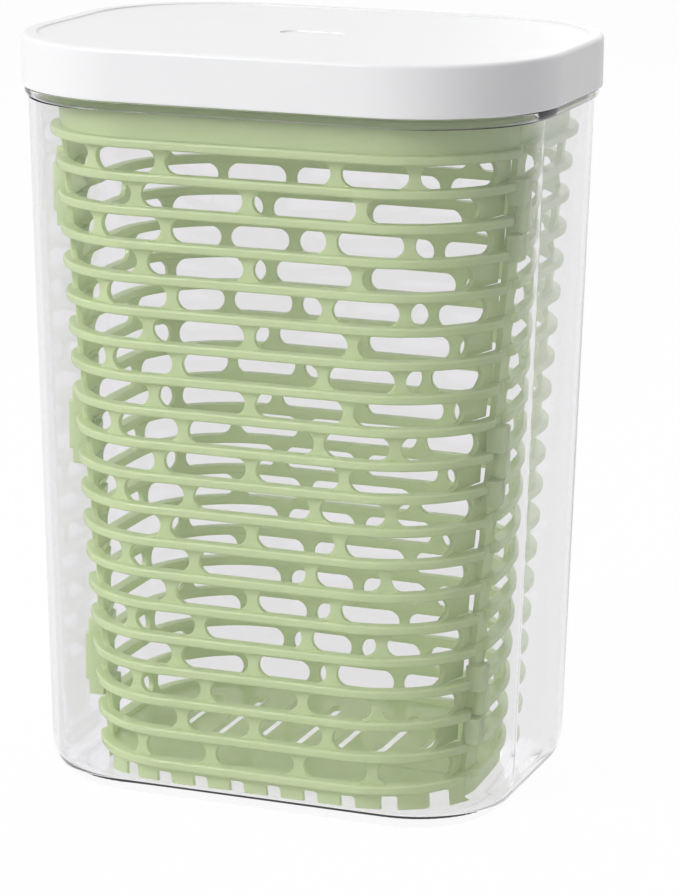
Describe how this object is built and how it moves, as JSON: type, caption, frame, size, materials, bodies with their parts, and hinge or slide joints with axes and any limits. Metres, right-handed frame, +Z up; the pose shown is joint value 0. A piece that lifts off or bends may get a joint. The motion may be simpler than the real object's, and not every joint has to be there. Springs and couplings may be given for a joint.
{
  "type": "herb keeper",
  "caption": "Tall clear tapered container with a lift-off white lid and a slotted green basket whose front is a hinged door, for keeping cut herbs in water",
  "frame": {"origin": "On the surface it stands on, under the middle of the whole keeper", "axes": "+Z up, +X right along the long side, -Y towards the basket's door and the long front face"},
  "size_m": [0.165, 0.1218, 0.2286],
  "materials": {
    "clear_plastic": "clear, polished, faintly grey at its thick edges",
    "white_plastic": "white, satin gloss",
    "seal_rubber": "soft pale silicone, satin",
    "green_plastic": "translucent pale green, glossy"
  },
  "bodies": {
    "container": {"container": "clear_plastic"},
    "basket": {"basket": "green_plastic"},
    "basket_door": {"basket_door": "green_plastic"},
    "lid": {"lid": "white_plastic", "lid_seal": "seal_rubber"}
  },
  "joints": [
    {"name": "basket_lift", "type": "slide", "parent": "container", "child": "basket", "axis": [0, 0, 1], "range_m": [0, 0.215]},
    {"name": "lid_lift", "type": "slide", "parent": "basket", "child": "lid", "axis": [0, 0, 1], "range_m": [0, 0.05]},
    {"name": "door_swing", "type": "hinge", "parent": "basket", "child": "basket_door", "pos_m": [0.06219, -0.02, 0.0349], "axis": [0.0671, 0, 0.9977], "range_deg": [0, 0.4]}
  ]
}
